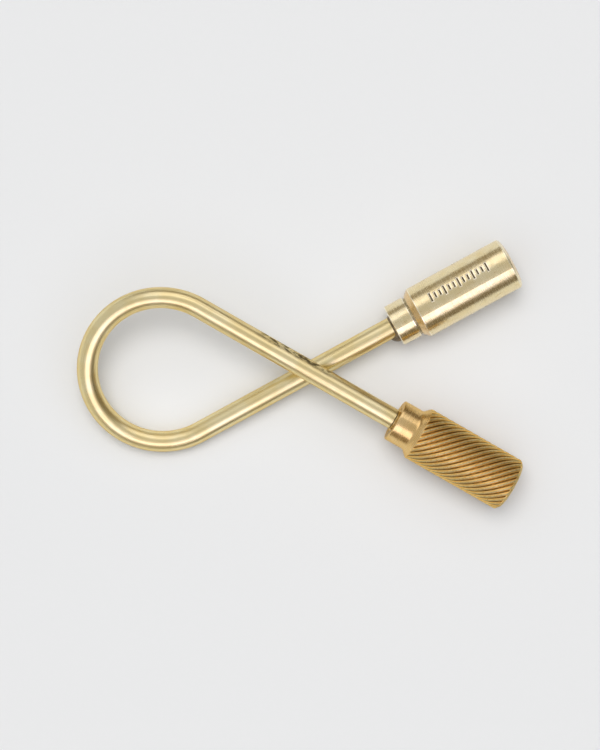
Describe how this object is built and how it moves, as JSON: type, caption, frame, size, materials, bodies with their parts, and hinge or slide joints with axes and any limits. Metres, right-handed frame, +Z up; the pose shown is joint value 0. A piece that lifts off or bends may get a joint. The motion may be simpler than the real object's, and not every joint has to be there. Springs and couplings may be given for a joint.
{
  "type": "loop key ring",
  "caption": "Bent brass rod loop for keys, its crossed legs ending in a fixed plain cap and a knurled cap that screws off.",
  "frame": {"origin": "middle of the object's foot print on the surface it lies on", "axes": "+Z up from that surface, +X along the long axis from the loop towards the caps, +Y towards the fixed plain cap"},
  "size_m": [0.0834, 0.0502, 0.0125],
  "materials": {
    "rod_brass": "drawn, satin",
    "plain_brass": "turned, fine brushed",
    "knurled_brass": "knurled, satin",
    "compound": "matte, uneven",
    "ring_rubber": "matte"
  },
  "bodies": {
    "ring": {"loop_rod": "rod_brass", "plain_cap": "plain_brass", "locking_compound": "compound"},
    "cap_slider": {"friction_ring": "ring_rubber"},
    "screw_cap": {"knurled_cap": "knurled_brass"}
  },
  "joints": [
    {"name": "cap_travel", "type": "slide", "parent": "ring", "child": "cap_slider", "axis": [0.8654, -0.495, -0.0774], "range_m": [0, 0.00965]},
    {"name": "cap_turn", "type": "hinge", "parent": "cap_slider", "child": "screw_cap", "pos_m": [0.01771, -0.0085, 0.00707], "axis": [0.8654, -0.495, -0.0774], "range_deg": [0, 5760]}
  ],
  "couplings": [
    {"joint": "cap_travel", "follows": "cap_turn", "m_per_rad": 0.000095493}
  ]
}
